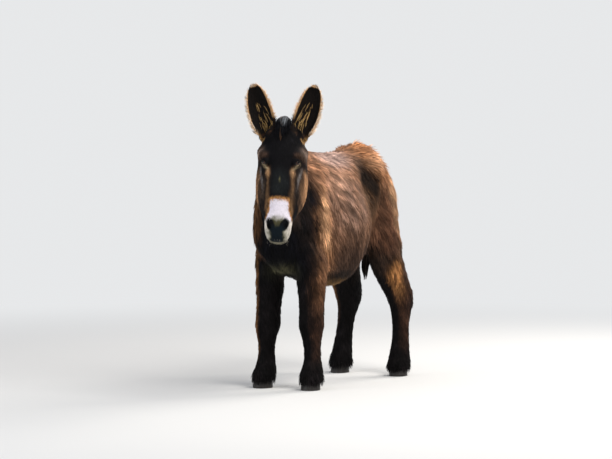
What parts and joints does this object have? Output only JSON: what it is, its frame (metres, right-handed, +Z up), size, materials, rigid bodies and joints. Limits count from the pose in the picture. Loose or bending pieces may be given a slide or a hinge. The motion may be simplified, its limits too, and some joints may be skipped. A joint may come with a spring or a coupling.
{
  "type": "donkey",
  "caption": "Standing long-haired donkey with its head turned to its left, a life-size still model on its own four hooves.",
  "frame": {"origin": "on the ground, in the middle of the whole animal's footprint box", "axes": "+Z up, -Y the way the animal faces, +X its left side; the trunk lies along Y and the head is turned towards +X"},
  "size_m": [0.608, 1.6534, 1.5711],
  "materials": {
    "coat": "long winter coat, dull",
    "points": "short thick leg hair, dull",
    "face": "short face and ear hair, dull",
    "hair": "coarse mane and tail hair, slight sheen",
    "horn": "dull dark hoof horn",
    "eye": "wet, very glossy"
  },
  "bodies": {
    "root": {"trunk": "coat", "neck": "coat", "head": "face", "eye_left": "eye", "eye_right": "eye", "ear_left": "face", "ear_right": "face", "leg_front_left": "points", "hoof_front_left": "horn", "leg_front_right": "points", "hoof_front_right": "horn", "leg_hind_left": "points", "hoof_hind_left": "horn", "leg_hind_right": "points", "hoof_hind_right": "horn", "mane": "hair", "forelock": "hair", "tail": "coat", "tail_switch": "hair"}
  },
  "joints": []
}
